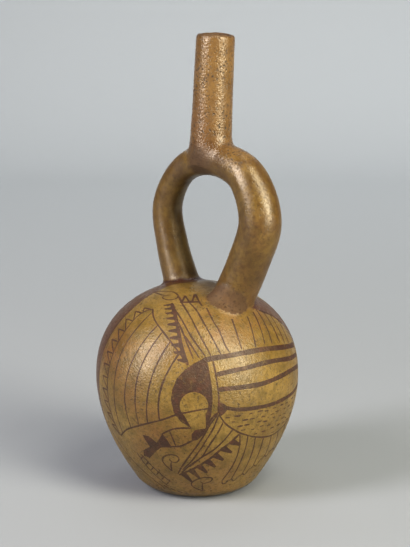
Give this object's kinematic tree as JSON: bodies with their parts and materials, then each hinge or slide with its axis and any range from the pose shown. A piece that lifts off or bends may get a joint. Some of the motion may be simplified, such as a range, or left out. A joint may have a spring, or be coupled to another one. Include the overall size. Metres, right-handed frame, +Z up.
{
  "type": "stirrup spout vessel",
  "caption": "Hollow fired-clay bottle: egg-shaped chamber on a flat base, two arched arms joining under one upright open spout.",
  "frame": {"origin": "centre of the chamber's flat base, on the surface it stands on", "axes": "+Z up; the stirrup lies in a plane parallel to XZ, with the thicker arm on the +X side; the painted head faces halfway between +X and -Y"},
  "size_m": [0.1248, 0.1248, 0.2795],
  "materials": {
    "burnished_slip": "burnished cream-brown slip on fired clay, painted with red-brown slip"
  },
  "bodies": {
    "root": {"vessel": "burnished_slip"}
  },
  "joints": []
}
